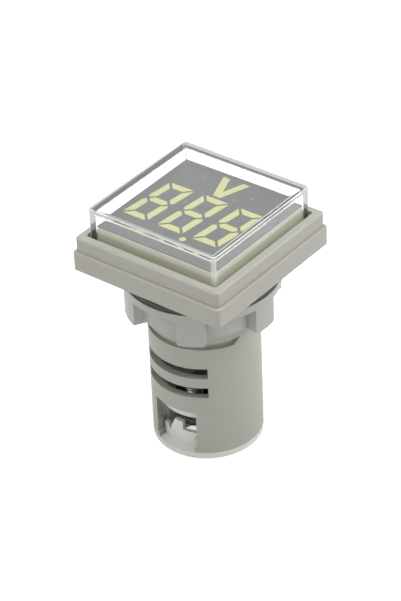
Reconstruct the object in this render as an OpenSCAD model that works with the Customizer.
// Square panel voltmeter for a 22 mm hole.
// Origin on the neck axis, in the plane of the bezel's back, which is the panel's front face.
// +Z points out of the panel, X runs along the reading direction and +Y is the top of the display.

/* [Bezel] */
// Side of the square flange that stops on the panel
bezel_side = 31; // [30.8:0.1:33]
// Thickness of the flange
flange_h = 3.6; // [3.2:0.1:5]
// How far the upper step stands in from the flange's edge
step_inset = 0.45; // [0.3:0.05:0.6]
// Height of the upper step
step_h = 2.8; // [2.4:0.1:4]
// Radius of the bezel's upright corners
bezel_corner_r = 0.75; // [0.6:0.05:1.6]
// Bevel on the upper edges of the flange and the step
edge_bevel = 0.25; // [0.15:0.05:0.4]
// Thickness of the rim round the lens cover
rim_wall = 1.4; // [1.2:0.1:1.6]
// Height of the ledge that the lens cover stands on
ledge_h = 3; // [2.7:0.1:3.2]
// Thickness of the bezel's back wall
back_wall = 1.8; // [1.5:0.1:2]

/* [Neck and tube] */
// Height of the plain register under the bezel
register_h = 2; // [1.5:0.1:2]
// Depth of the thread, from crest to root
thread_depth = 0.85; // [0.75:0.05:0.9]
// Distance from the bezel's back to the end of the thread
thread_end = 11.4; // [11:0.1:12]
// Height of the relief under the thread
relief_h = 1.4; // [1:0.1:1.8]
// Depth of the relief below the tube's surface
relief_depth = 0.7; // [0.4:0.05:0.8]
// Radius of the tube, small enough for the nut to pass over it
tube_r = 9.85; // [9.7:0.05:9.9]
// How far the register and the thread's crest stand out from the tube
neck_step = 1.05; // [1.02:0.01:1.15]
// Wall thickness of the tube
tube_wall = 1.3; // [1.1:0.05:1.4]
// Distance from the bezel's back to the end of the tube
tube_length = 35.1; // [35:0.1:38]

/* [Vents] */
// Number of vent slots on each side
vent_count = 2; // [1:1:2]
// Distance from the bezel's back to the first slot
vent_start = 16.8; // [16.2:0.1:17]
// Height of a slot
vent_h = 2.1; // [1.5:0.1:2.4]
// Distance from one slot to the next
vent_pitch = 4.1; // [3.6:0.1:4.3]
// Half of the angle that a slot covers
vent_half_angle = 40; // [30:1:44]

/* [Wire notches] */
// Half width of the notch in the tube's wall
notch_half_w = 4.35; // [4.2:0.05:4.6]
// Height of the notch above the tube's end
notch_h = 8.8; // [8:0.1:9.2]
// How far the rounded detents stand into the notch
detent_rise = 0.25; // [0.15:0.05:0.3]
// Radius of the detents
detent_r = 1.3; // [1:0.1:1.6]
// How far the toes at the foot of the notch stand in
toe_rise = 0.4; // [0.2:0.05:0.5]

/* [Lens cover] */
// Gap between the rim and the cover
cover_gap = 0.4; // [0.3:0.05:0.5]
// Wall thickness of the cover
cover_wall = 1.1; // [0.9:0.05:1.3]
// Thickness of the cover's window
cover_top = 1.2; // [0.9:0.05:1.4]
// Height of the cover above the rim
cover_rise = 5.35; // [5:0.05:7]
// Radius of the cover's upright corners
cover_corner_r = 0.7; // [0.6:0.05:1]
// Bevel on the cover's upper edge
cover_bevel = 0.3; // [0.2:0.05:0.4]
// Length of the snap ribs on the skirt
snap_rib_l = 8; // [5:0.5:12]
// Height of the snap ribs
snap_rib_h = 0.7; // [0.5:0.1:1]

/* [Display] */
// Gap between the lens cover and the display module
display_gap = 0.2; // [0.05:0.05:0.3]
// Height of the display module
display_h = 4.45; // [4:0.05:5]
// Thickness of the printed face film
film_t = 0.2; // [0.1:0.05:0.3]
// Thickness of the display's circuit board
display_board_t = 1; // [0.8:0.1:1.2]
// Height of a digit, as a share of the display's side
digit_h_share = 0.49; // [0.4:0.001:0.5]
// Width of a digit, as a share of the display's side
digit_w_share = 0.224; // [0.2:0.001:0.23]
// Distance from one digit to the next, as a share of the display's side
digit_pitch_share = 0.308; // [0.3:0.001:0.312]
// Lean of the digits
digit_lean = 6.3; // [0:0.1:8]
// Width of a segment, as a share of the digit's height
stroke_share = 0.115; // [0.09:0.001:0.12]
// Gap between two segments
segment_gap = 0.45; // [0.2:0.05:0.5]
// How far the digits stand below the middle of the face, as a share of the digit's height
digit_drop_share = 0.124; // [0.1:0.001:0.13]
// Radius of the decimal point
point_r = 0.6; // [0.4:0.05:0.65]
// Height of the unit sign, as a share of the digit's height
unit_h_share = 0.495; // [0.35:0.005:0.5]
// Width of the unit sign, as a share of the digit's height
unit_w_share = 0.48; // [0.35:0.005:0.5]
// Gap between the digits and the unit sign, as a share of the digit's height
unit_gap_share = 0.052; // [0.045:0.001:0.055]

/* [Rear cap] */
// Thickness of the cap's rim
cap_rim_h = 1.4; // [1.2:0.1:2]
// Gap between the tube and the cap's plug
plug_gap = 0.2; // [0.15:0.05:0.25]
// Wall thickness of the plug
plug_wall = 0.7; // [0.6:0.05:1.1]
// Height of the plug above the rim
plug_h = 7.7; // [7.6:0.1:8]
// Height of the chamber floor above the rim
chamber_floor_h = 1.2; // [1:0.1:1.4]
// Half width of a terminal chamber
chamber_half_w = 4; // [3.4:0.1:4.2]
// Half thickness of the wall between the chambers
partition_half_t = 0.5; // [0.4:0.05:0.55]
// Height of the wire window's lower edge above the rim
sill_h = 3.2; // [3:0.1:3.6]
// Height of the tab that stands up in the wire window
tab_h = 5; // [4.5:0.05:5.4]
// Half width of the tab
tab_half_w = 0.85; // [0.6:0.05:0.9]

/* [Terminals] */
// Distance of the screws from the middle, as a share of the chamber's radius
screw_place_share = 0.484; // [0.48:0.001:0.49]
// Radius of the screw thread
screw_r = 1.5; // [1.25:0.05:1.5]
// Radius of the screw head
head_r = 2.5; // [2.3:0.05:2.55]
// Height of the screw head
head_h = 1.9; // [1.6:0.1:2]
// Length of the screw under its head
screw_length = 6; // [5.5:0.1:6.4]
// Thickness of the clamp washer
washer_t = 0.9; // [0.7:0.05:1]
// Width of the clamp washer
washer_w = 5.4; // [5:0.1:5.6]
// Space for a wire between the washer and the contact
wire_space = 1.3; // [1.2:0.05:1.6]
// Thickness of the contact plate
contact_t = 0.8; // [0.6:0.05:0.9]
// Thickness of the contact's riser
riser_t = 0.5; // [0.4:0.05:0.6]

/* [Boards] */
// Thickness of the main board
board_t = 1.2; // [1:0.1:1.6]
// Gap between the main board's edges and the tube's bore
board_edge_gap = 0.65; // [0.62:0.01:1]
// Thickness of the guide ribs beside the board
rib_t = 0.8; // [0.6:0.1:1]
// Pitch of the board header's pins
header_pitch = 2; // [1.27:0.01:2.54]
// Radius of the electrolytic capacitor, as a share of the tube's bore
electrolytic_share = 0.3626; // [0.3:0.0001:0.37]
// Height of the lower part of the main board, which carries the chip and the resistors
chip_zone_h = 9.5; // [9.4:0.1:11]

/* [Nut and gasket] */
// Width of the nut's flange and lugs, measured out from the thread's crest
nut_flange_w = 2.8; // [2.5:0.1:3.5]
// Distance from the bezel's back to the nut's top
nut_drop = 3.05; // [3.05:0.05:3.5]
// Thickness of the nut's flange
nut_flange_h = 1.4; // [1:0.1:2]
// Thickness of the nut's wall between the lugs, measured in the same way
nut_wall = 1; // [0.9:0.05:1.5]
// Height of the nut's wall
nut_h = 5.7; // [5:0.1:6]
// Number of lugs
lug_count = 6; // [4:1:8]
// Width of a lug
lug_w = 4.9; // [3.5:0.1:5.5]
// Height of a lug
lug_h = 6.3; // [5.9:0.1:6.8]
// Radius of a lug's lower corners
lug_corner_r = 0.5; // [0.4:0.1:1.2]
// Turn of the lugs against the bezel
lug_turn = -1.4; // [-30:0.1:30]
// Thickness of the gasket
gasket_t = 0.9; // [0.7:0.05:0.9]
// Width that the gasket's edge stands in from the nut's edge
gasket_inset = 0.2; // [0:0.1:0.8]

/* [Hidden] */
$fn = 96;
// A little more than nothing, so that a cut runs past a face
past = 0.5;
// Larger than the whole meter
far = 60;
// Clearance of a running fit, and that of a part slipped into its place
running_gap = 0.05;
slip = 0.1;

// Bezel and cover
step_side = bezel_side - 2 * step_inset;
rim_z = flange_h + step_h;
pocket_side = step_side - 2 * rim_wall;
cover_side = pocket_side - 2 * cover_gap;
cover_inside = cover_side - 2 * cover_wall;
cover_z = rim_z + cover_rise;
display_side = cover_inside - 2 * display_gap;
well_side = cover_inside;
pad_side = 3.2;
board_rest_h = 1.1;
display_board_z = back_wall + board_rest_h;
shell_z = display_board_z + display_board_t;
film_z = shell_z + display_h - film_t;
face_z = shell_z + display_h;
display_board_side = display_side - 2 * slip;
pin_r = 0.25;
pin_reach = 0.8;

// Neck and tube
neck_r = tube_r + neck_step;
root_r = neck_r - thread_depth;
bore_r = tube_r - tube_wall;
tube_end_z = -tube_length;
relief_top_angle = 12.4;
relief_foot_angle = 21.6;

// Digits
digit_h = digit_h_share * display_side;
half_h = digit_h / 2;
half_w = digit_w_share * display_side / 2;
digit_pitch = digit_pitch_share * display_side;
digit_drop = digit_drop_share * digit_h;
stroke = stroke_share * digit_h;
unit_h = unit_h_share * digit_h;
unit_w = unit_w_share * digit_h;
unit_gap = unit_gap_share * digit_h;
mitre = segment_gap / sqrt(2);
tip = 0.35 * stroke;
lean = tan(digit_lean);
point_room = 0.01 * display_side;
led_h = 0.4;
led_size = [0.9, 0.6];
point_drop = 0.09 * digit_h;
point_x = 0.42 * digit_pitch;
point_y = -half_h - point_drop - digit_drop;
unit_y = half_h - digit_drop + unit_gap;
unit_notch_h = 0.31 * unit_h;

// Rear cap and terminals, measured up from the top of the cap's rim
cap_bottom_z = tube_end_z - cap_rim_h;
plug_r = bore_r - plug_gap;
chamber_r = plug_r - plug_wall;
contact_seat_h = 6.4;
contact_z = tube_end_z + contact_seat_h;
screw_pitch_y = screw_place_share * chamber_r;
window_margin = 0.55;
window_top_z = contact_z + 0.15;
window_half_w = notch_half_w + window_margin;
washer_z = contact_z - wire_space - washer_t;
head_top_z = washer_z - running_gap;
head_clearance = 0.4;
driver_bore_r = head_r + head_clearance;
shoulder_w = 0.4;
contact_half_w = chamber_half_w + shoulder_w;
toe_h = 1.2;
cap_rib_z = tube_end_z + 4;
detent_z = 3.15;

// Boards
board_lift = 5.2;
board_foot_z = contact_z + board_lift;
board_top_z = back_wall - 0.4;
solder_lap = 2;
riser_top_z = board_foot_z + solder_lap;
riser_w = 3.2;
face_y = board_t / 2;
board_half_w = bore_r - board_edge_gap;
board_l = board_top_z - board_foot_z;
capacitor_drop = 4.4;
capacitor_z = board_foot_z + chip_zone_h;
capacitor_l = board_l - chip_zone_h - capacitor_drop;
electrolytic_r = electrolytic_share * bore_r;
electrolytic_x = electrolytic_r - 0.9;
film_capacitor_w = 1.17 * bore_r;
film_capacitor_t = 0.608 * bore_r;
chip_l = 1.158 * bore_r;
chip_w = 3.9;
chip_t = 1.45;
chip_lift = 5.6;
rectifier_w = 4.7;
rectifier_t = 2.4;
rectifier_h = 4.2;
rectifier_gap = 0.2;
rectifier_x = electrolytic_x - electrolytic_r - rectifier_gap - rectifier_w;
rectifier_lift = 6.5;
resistor_r = 1.15;
resistor_waist_r = 1;
resistor_l = 6;
resistor_end_l = 1.6;
resistor_lift = 3;
resistor_x = 1.6;
resistor_step = 2.8;
header_lap = 3;
header_foot_z = board_top_z - header_lap;
header_w = 0.5;
header_y = face_y + header_w / 2;

// Nut
nut_r = neck_r + nut_flange_w;
nut_wall_r = neck_r + nut_wall;
nut_bore_r = neck_r + running_gap;
gasket_bore_r = neck_r + slip;
nut_top_z = -nut_drop;
gasket_z = nut_top_z + running_gap;

housing_grey = [0.64, 0.635, 0.6];
cap_white = [0.81, 0.83, 0.8];
lit_yellow = [0.88, 0.86, 0.62];
board_green = [0.12, 0.36, 0.2];
bright_steel = [0.76, 0.76, 0.74];
chip_black = [0.1, 0.1, 0.11];

// ---- Shared forms ----

// Square plate with round upright corners and a bevelled upper edge: the prism is cut by a bevelled
// section across each pair of sides and across each pair of corners
module bevelled_plate(side, height, corner_r, bevel) {
    corner_reach = sqrt(2) * (side / 2 - corner_r) + corner_r;
    intersection() {
        round_prism(side, 0, height, corner_r);
        for_each_side([0, 90]) bevelled_section(side / 2, height, bevel);
        for_each_side([45, 135]) bevelled_section(corner_reach, height, bevel);
    }
}

// Bevelled section run through the whole plate at each of the turns, and what they share
module for_each_side(turns) {
    intersection_for (turn = turns)
        rotate([90, 0, turn])
            linear_extrude(2 * far, center = true) children();
}

module bevelled_section(half, height, bevel) {
    polygon([[-half - past, -past], [half + past, -past], [half + past, height - bevel - past],
             [half - bevel, height], [bevel - half, height], [-half - past, height - bevel - past]]);
}

// Square prism with round upright corners
module round_prism(side, z0, z1, corner_r) {
    inner = side - 2 * corner_r;
    translate([0, 0, z0]) linear_extrude(z1 - z0) {
        square([side, inner], center = true);
        square([inner, side], center = true);
        for (x = [-1, 1], y = [-1, 1])
            translate([x * inner / 2, y * inner / 2]) circle(corner_r, $fn = 32);
    }
}

// Ring between two radii
module ring(outer_r, inner_r, z0, z1) {
    difference() {
        translate([0, 0, z0]) cylinder(r = outer_r, h = z1 - z0);
        translate([0, 0, z0 - past]) cylinder(r = inner_r, h = z1 - z0 + 2 * past);
    }
}

// Outline in X and Z, run along Y from y0 to y1
module run_y(y0, y1) {
    translate([0, y1, 0]) rotate([90, 0, 0]) linear_extrude(y1 - y0) children();
}

// The two sides of the tube that carry the same vents, notch and terminal
module both_sides() {
    for (turn = [0, 180]) rotate([0, 0, turn]) children();
}

// ---- Housing: bezel, neck and vented tube in one moulding ----

// Rib at the parting line that the relief stops at, wider at its foot
module relief_rib() {
    top_half = tube_r * sin(relief_top_angle);
    foot_half = tube_r * sin(relief_foot_angle);
    rotate([90, 0, 90])
        linear_extrude(2 * far, center = true)
            polygon([[-foot_half, -thread_end - relief_h], [foot_half, -thread_end - relief_h],
                     [top_half, -thread_end], [-top_half, -thread_end]]);
}

module relief_cut() {
    difference() {
        ring(neck_r + past, tube_r - relief_depth, -thread_end - relief_h, -thread_end);
        relief_rib();
    }
}

// Sector of a slot that opens towards -Y
module vent_cut(z0) {
    reach = 2 * tube_r;
    translate([0, 0, z0 - vent_h])
        linear_extrude(vent_h)
            polygon([[0, 0], [-reach * sin(vent_half_angle), -reach * cos(vent_half_angle)],
                     [reach * sin(vent_half_angle), -reach * cos(vent_half_angle)]]);
}

// Right edge of the wire notch, from the foot up: the toe, then the rounded detent
function notch_edge() =
    let (swing = acos(1 - detent_rise / detent_r),
         mid_x = notch_half_w + detent_r - detent_rise)
    concat([[notch_half_w - toe_rise, -past], [notch_half_w - toe_rise, toe_h - toe_rise / 2],
            [notch_half_w - toe_rise / 2, toe_h], [notch_half_w, toe_h]],
           [for (i = [-4 : 4])
               [mid_x - detent_r * cos(i * swing / 4), detent_z + detent_r * sin(i * swing / 4)]],
           [[notch_half_w, notch_h]]);

// Outline of the wire notch, both edges alike
module notch_outline() {
    edge = notch_edge();
    last = len(edge) - 1;
    translate([0, tube_end_z])
        polygon(concat(edge, [for (i = [last : -1 : 0]) [-edge[i][0], edge[i][1]]]));
}

// Ribs that the main board slides between
module guide_ribs() {
    guide_w = 1.4;
    intersection() {
        translate([0, 0, board_foot_z]) cylinder(r = bore_r + past, h = board_top_z - board_foot_z);
        for (x = [-1, 1], y = [-1, 1])
            translate([x * board_half_w, y * (face_y + slip + rib_t / 2), board_foot_z])
                translate([-guide_w / 2, -rib_t / 2, 0])
                    cube([guide_w, rib_t, board_top_z - board_foot_z]);
    }
}

// Pads in the well's corners that the display board stands on
module corner_pads() {
    pad_mid = (well_side - pad_side) / 2;
    for (x = [-1, 1], y = [-1, 1])
        translate([x * pad_mid, y * pad_mid, back_wall + board_rest_h / 2 - slip])
            cube([pad_side, pad_side, board_rest_h + 2 * slip], center = true);
}

module housing() {
    pocket_corner_r = 0.5;
    well_corner_r = 0.4;
    color(housing_grey) {
        difference() {
            union() {
                bevelled_plate(bezel_side, flange_h, bezel_corner_r, edge_bevel);
                bevelled_plate(step_side, rim_z, bezel_corner_r, edge_bevel);
                translate([0, 0, -register_h]) cylinder(r = neck_r, h = register_h + past);
                translate([0, 0, -thread_end]) cylinder(r = root_r, h = thread_end);
                translate([0, 0, tube_end_z]) cylinder(r = tube_r, h = tube_length);
            }
            round_prism(pocket_side, ledge_h, rim_z + past, pocket_corner_r);
            round_prism(well_side, back_wall, ledge_h + past, well_corner_r);
            translate([0, 0, tube_end_z - past])
                cylinder(r = bore_r, h = tube_length + 2 * past + back_wall);
            relief_cut();
            both_sides() {
                for (i = [0 : vent_count - 1])
                    vent_cut(-vent_start - i * vent_pitch);
                run_y(-far, 0) notch_outline();
            }
        }
        guide_ribs();
        corner_pads();
    }
}

// ---- Lens cover: one clear moulding with snap ribs on its skirt ----

module lens_cover() {
    inner_corner_r = 0.3;
    rib_lift = 0.6;
    color([0.9, 0.95, 0.95, 0.35]) {
        difference() {
            translate([0, 0, ledge_h])
                bevelled_plate(cover_side, cover_z - ledge_h, cover_corner_r, cover_bevel);
            round_prism(cover_inside, ledge_h - past, cover_z - cover_top, inner_corner_r);
        }
        for (turn = [0 : 90 : 270])
            rotate([0, 0, turn])
                translate([-snap_rib_l / 2, cover_side / 2 - slip, ledge_h + rib_lift])
                    cube([snap_rib_l, cover_gap, snap_rib_h]);
    }
}

// ---- Display ----

// Upper half of the segments, as outlines about the digit's middle: top bar and upper right bar
top_bar = [[mitre - half_w, half_h], [half_w - mitre, half_h],
           [half_w - stroke - mitre, half_h - stroke], [stroke + mitre - half_w, half_h - stroke]];
side_bar = [[half_w, half_h - mitre], [half_w, mitre + tip], [half_w - tip, mitre],
            [half_w - stroke, mitre + stroke - tip], [half_w - stroke, half_h - stroke - mitre]];
middle_bar = [[tip + mitre - half_w, 0], [tip + mitre + stroke / 2 - half_w, stroke / 2],
              [half_w - tip - mitre - stroke / 2, stroke / 2], [half_w - tip - mitre, 0],
              [half_w - tip - mitre - stroke / 2, -stroke / 2],
              [tip + mitre + stroke / 2 - half_w, -stroke / 2]];

// A point list flipped about the digit's axes and leaned over
function leaned(points, sx, sy) = [for (p = points) [sx * p[0] + lean * sy * p[1], sy * p[1]]];

module digit_outline(index) {
    translate([(index - 2) * digit_pitch - point_room, -digit_drop]) {
        for (sy = [-1, 1]) {
            polygon(leaned(top_bar, 1, sy));
            for (sx = [-1, 1]) polygon(leaned(side_bar, sx, sy));
        }
        polygon(leaned(middle_bar, 1, 1));
    }
}

module point_outline() {
    translate([point_x - point_room, point_y]) circle(point_r, $fn = 48);
}

module unit_outline() {
    foot = 0.14 * unit_w;
    arm = 0.25 * unit_w;
    translate([-point_room, unit_y])
        polygon([[-foot, 0], [foot, 0], [unit_w / 2, unit_h], [unit_w / 2 - arm, unit_h],
                 [0, unit_notch_h], [arm - unit_w / 2, unit_h], [-unit_w / 2, unit_h]]);
}

// The windows stand a little left of the middle, because each digit has room for a point on its right
module all_windows() {
    for (index = [1, 2, 3]) digit_outline(index);
    point_outline();
    unit_outline();
}

module face_film() {
    color([0.53, 0.53, 0.53])
        translate([0, 0, film_z])
            linear_extrude(film_t)
                difference() {
                    square(display_side, center = true);
                    all_windows();
                }
}

module display_shell() {
    color([0.8, 0.78, 0.69])
        translate([0, 0, shell_z])
            linear_extrude(film_z - shell_z)
                difference() {
                    square(display_side, center = true);
                    all_windows();
                }
}

// Diffusing resin cast in the windows, above the chips and up to the face
module cast_resin() {
    color(lit_yellow)
        translate([0, 0, shell_z + led_h + slip])
            linear_extrude(face_z - shell_z - led_h - slip) children();
}

// One light-emitting chip under each segment, under the point and under the unit sign
module led_chips() {
    mid_x = half_w - stroke / 2;
    bars = [[0, half_h - stroke / 2], [mid_x, half_h / 2], [mid_x, -half_h / 2], [0, stroke / 2 - half_h],
            [-mid_x, -half_h / 2], [-mid_x, half_h / 2], [0, 0]];
    color([0.9, 0.8, 0.4])
        translate([-point_room, 0, shell_z])
            linear_extrude(led_h) {
                for (index = [1, 2, 3], bar = bars)
                    translate([(index - 2) * digit_pitch + bar[0] + lean * bar[1], bar[1] - digit_drop])
                        square(led_size, center = true);
                translate([0, unit_y + unit_notch_h / 2]) square(led_size, center = true);
                translate([point_x, point_y]) square(led_size / 2, center = true);
            }
}

// Places of the display module's pins, in two rows
module pin_places() {
    row_pitch = 3.2;
    row_inset = 2.2;
    for (i = [-2 : 2], side = [-1, 1])
        translate([i * row_pitch, side * (display_side / 2 - row_inset), 0]) children();
}

module header_places() {
    for (i = [-2.5 : 2.5]) translate([i * header_pitch, header_y, 0]) children();
}

module display_board() {
    cut_h = display_board_t + 2 * past;
    hole_w = header_w + slip;
    color(board_green)
        difference() {
            round_prism(display_board_side, display_board_z, shell_z, slip);
            translate([0, 0, display_board_z - past]) {
                pin_places() cylinder(r = pin_r + slip, h = cut_h, $fn = 24);
                header_places() translate([-hole_w / 2, -hole_w / 2, 0]) cube([hole_w, hole_w, cut_h]);
            }
        }
}

module display_pins() {
    color(bright_steel)
        pin_places()
            translate([0, 0, display_board_z - pin_reach])
                cylinder(r = pin_r, h = display_board_t + pin_reach, $fn = 24);
}

module board_header() {
    color([0.78, 0.7, 0.4])
        header_places()
            translate([-header_w / 2, -header_w / 2, header_foot_z])
                cube([header_w, header_w, shell_z - header_foot_z]);
}

// ---- Main board and its parts ----

module main_board() {
    color(board_green)
        translate([-board_half_w, -face_y, board_foot_z])
            cube([2 * board_half_w, board_t, board_top_z - board_foot_z]);
}

// Flat chip with its leads bent down to the board
module control_chip() {
    lead_pitch = chip_l / 8.25;
    lead_w = 0.4;
    stand_off = 0.15;
    translate([0, -face_y, board_foot_z + chip_lift]) {
        color(chip_black)
            translate([-chip_l / 2, -stand_off - chip_t, -chip_w / 2]) cube([chip_l, chip_t, chip_w]);
        color(bright_steel)
            for (i = [-3.5 : 3.5], side = [-1, 1])
                translate([i * lead_pitch, 0, side * chip_w / 2])
                    rotate([90, 0, 90])
                        linear_extrude(lead_w, center = true)
                            polygon([[-0.85, 0], [-0.85, side * 0.5], [0, side * 1.1],
                                     [0, side * 0.6], [-0.5, 0]]);
    }
}

module film_capacitor() {
    color([0.85, 0.7, 0.15])
        translate([-film_capacitor_w / 2, -face_y - film_capacitor_t, capacitor_z])
            cube([film_capacitor_w, film_capacitor_t, capacitor_l]);
}

// Can lying on the board, with its rolled groove
module electrolytic_capacitor() {
    groove = 0.25;
    groove_z = 1.8;
    groove_half_h = 0.4;
    edge = 0.3;
    color([0.15, 0.17, 0.25])
        translate([electrolytic_x, face_y + electrolytic_r, capacitor_z])
            rotate_extrude()
                polygon([[0, 0], [electrolytic_r, 0], [electrolytic_r, groove_z - groove_half_h],
                         [electrolytic_r - groove, groove_z], [electrolytic_r, groove_z + groove_half_h],
                         [electrolytic_r, capacitor_l - edge], [electrolytic_r - edge, capacitor_l],
                         [0, capacitor_l]]);
}

module bridge_rectifier() {
    color(chip_black)
        translate([rectifier_x, face_y, board_foot_z + rectifier_lift])
            cube([rectifier_w, rectifier_t, rectifier_h]);
}

// Leaded resistors standing side by side on the board
module resistors() {
    color([0.45, 0.62, 0.75])
        for (x = [resistor_x, resistor_x + resistor_step])
            translate([x, face_y + resistor_r, board_foot_z + resistor_lift]) {
                cylinder(r = resistor_waist_r, h = resistor_l);
                for (z = [0, resistor_l - resistor_end_l])
                    translate([0, 0, z]) cylinder(r = resistor_r, h = resistor_end_l);
            }
}

// ---- Rear cap and terminals ----

// Outline of the wire window: a low prong at its left end, a V, a standing tab and a straight sill
module window_outline() {
    sill_z = tube_end_z + sill_h;
    tab_z = tube_end_z + tab_h;
    end_drop = 2.4;
    prong_drop = 0.6;
    prong_slope = 0.2;
    prong_l = 1.3;
    prong_x = -tab_half_w - 1.9;
    v_x = -tab_half_w - 1.3;
    v_drop = 1.4;
    tab_taper = 0.9;
    polygon([[-window_half_w, window_top_z], [-window_half_w, sill_z - end_drop],
             [prong_x - prong_l, sill_z - prong_drop], [prong_x, sill_z - prong_drop + prong_slope],
             [v_x, sill_z - v_drop], [-tab_half_w - tab_taper, sill_z], [-tab_half_w, tab_z],
             [tab_half_w, tab_z], [tab_half_w, sill_z], [window_half_w, sill_z],
             [window_half_w, window_top_z]]);
}

// Everything cut out of the cap for the terminal that faces -Y
module terminal_cuts() {
    chamber_z = tube_end_z + chamber_floor_h;
    intersection() {
        translate([0, 0, chamber_z]) cylinder(r = chamber_r, h = far);
        union() {
            translate([-chamber_half_w, -far, chamber_z])
                cube([2 * chamber_half_w, far - partition_half_t, far]);
            translate([-contact_half_w - slip, -far, contact_z])
                cube([2 * contact_half_w + 2 * slip, far - partition_half_t, far]);
        }
    }
    run_y(-far, -chamber_r * cos(asin(window_half_w / plug_r))) window_outline();
    translate([0, -screw_pitch_y, cap_bottom_z - past])
        cylinder(r = driver_bore_r, h = contact_seat_h);
}

// Ribs on the plug that press against the tube's bore between the two notches
module plug_ribs() {
    rib_w = 6;
    intersection() {
        ring(bore_r - running_gap, plug_r - slip, cap_rib_z, cap_rib_z + snap_rib_h);
        translate([-far, -rib_w / 2, -far]) cube([2 * far, rib_w, far]);
    }
}

module rear_cap() {
    edge = 0.3;
    color(cap_white) {
        difference() {
            union() {
                translate([0, 0, cap_bottom_z])
                    rotate_extrude()
                        polygon([[0, 0], [tube_r - edge, 0], [tube_r, edge], [tube_r, cap_rim_h],
                                 [0, cap_rim_h]]);
                translate([0, 0, tube_end_z]) cylinder(r = plug_r, h = plug_h);
            }
            both_sides() terminal_cuts();
        }
        plug_ribs();
    }
}

// Threaded plate that rests on the chamber's shoulders, with a riser soldered to the main board
module contact() {
    color([0.82, 0.76, 0.5]) {
        difference() {
            intersection() {
                translate([0, 0, contact_z]) cylinder(r = chamber_r - slip, h = contact_t);
                translate([-contact_half_w, -far, contact_z])
                    cube([2 * contact_half_w, far - face_y, contact_t]);
            }
            translate([0, -screw_pitch_y, contact_z - past])
                cylinder(r = screw_r + running_gap, h = contact_t + 2 * past);
        }
        translate([-riser_w / 2, -face_y - riser_t, contact_z])
            cube([riser_w, riser_t, riser_top_z - contact_z]);
    }
}

module contact_1() { contact(); }
module contact_2() { rotate([0, 0, 180]) contact(); }

module clamp_washer() {
    washer_d = 5;
    color(bright_steel)
        difference() {
            translate([0, -screw_pitch_y, washer_z + washer_t / 2])
                cube([washer_w, washer_d, washer_t], center = true);
            translate([0, -screw_pitch_y, washer_z - past])
                cylinder(r = screw_r + slip, h = washer_t + 2 * past);
        }
}

module clamp_washer_1() { clamp_washer(); }
module clamp_washer_2() { rotate([0, 0, 180]) clamp_washer(); }

// Cross-slotted pan-head screw, put in from the rear
module terminal_screw() {
    slot_l = 1.4 * head_r;
    slot_w = 0.8;
    slot_depth = 1.1;
    dome = 0.5;
    color(bright_steel)
        translate([0, -screw_pitch_y, 0])
            difference() {
                union() {
                    translate([0, 0, head_top_z - head_h])
                        rotate_extrude()
                            polygon([[0, 0], [head_r - dome, 0], [head_r, dome], [head_r, head_h],
                                     [0, head_h]]);
                    translate([0, 0, head_top_z])
                        cylinder(r = screw_r, h = screw_length);
                }
                for (turn = [0, 90])
                    rotate([0, 0, turn])
                        translate([0, 0, head_top_z - head_h])
                            cube([slot_l, slot_w, 2 * slot_depth], center = true);
            }
}

module terminal_screw_1() { terminal_screw(); }
module terminal_screw_2() { rotate([0, 0, 180]) terminal_screw(); }

// ---- Gasket and nut ----

module panel_gasket() {
    outer_r = nut_r - gasket_inset;
    color([0.16, 0.16, 0.15])
        ring(outer_r, gasket_bore_r, gasket_z, gasket_z + gasket_t);
}

// Side outline of a lug: it hangs from the flange and its lower corners are round
module lug_outline() {
    foot = -lug_h + lug_corner_r;
    half = lug_w / 2;
    translate([-half, foot]) square([lug_w, -foot]);
    translate([lug_corner_r - half, -lug_h]) square([lug_w - 2 * lug_corner_r, lug_h]);
    for (side = [-1, 1])
        translate([side * (half - lug_corner_r), foot]) circle(lug_corner_r);
}

module clamping_nut() {
    color([0.645, 0.64, 0.61])
        translate([0, 0, nut_top_z])
            difference() {
                union() {
                    translate([0, 0, -nut_flange_h]) cylinder(r = nut_r, h = nut_flange_h);
                    translate([0, 0, -nut_h]) cylinder(r = nut_wall_r, h = nut_h);
                    intersection() {
                        translate([0, 0, -lug_h - past]) ring(nut_r, nut_bore_r, 0, lug_h + past);
                        for (i = [0 : lug_count - 1])
                            rotate([0, 0, lug_turn + 90 + i * 360 / lug_count])
                                run_y(-far, 0) lug_outline();
                    }
                }
                translate([0, 0, -far]) cylinder(r = nut_bore_r, h = 2 * far);
            }
}

module digit_1() { cast_resin() digit_outline(1); }
module digit_2() { cast_resin() digit_outline(2); }
module digit_3() { cast_resin() digit_outline(3); }
module decimal_point() { cast_resin() point_outline(); }
module unit_sign() { cast_resin() unit_outline(); }

housing();
lens_cover();
face_film();
display_shell();
digit_1();
digit_2();
digit_3();
decimal_point();
unit_sign();
led_chips();
display_board();
display_pins();
board_header();
main_board();
control_chip();
film_capacitor();
electrolytic_capacitor();
bridge_rectifier();
resistors();
rear_cap();
contact_1();
contact_2();
clamp_washer_1();
clamp_washer_2();
terminal_screw_1();
terminal_screw_2();
panel_gasket();
clamping_nut();
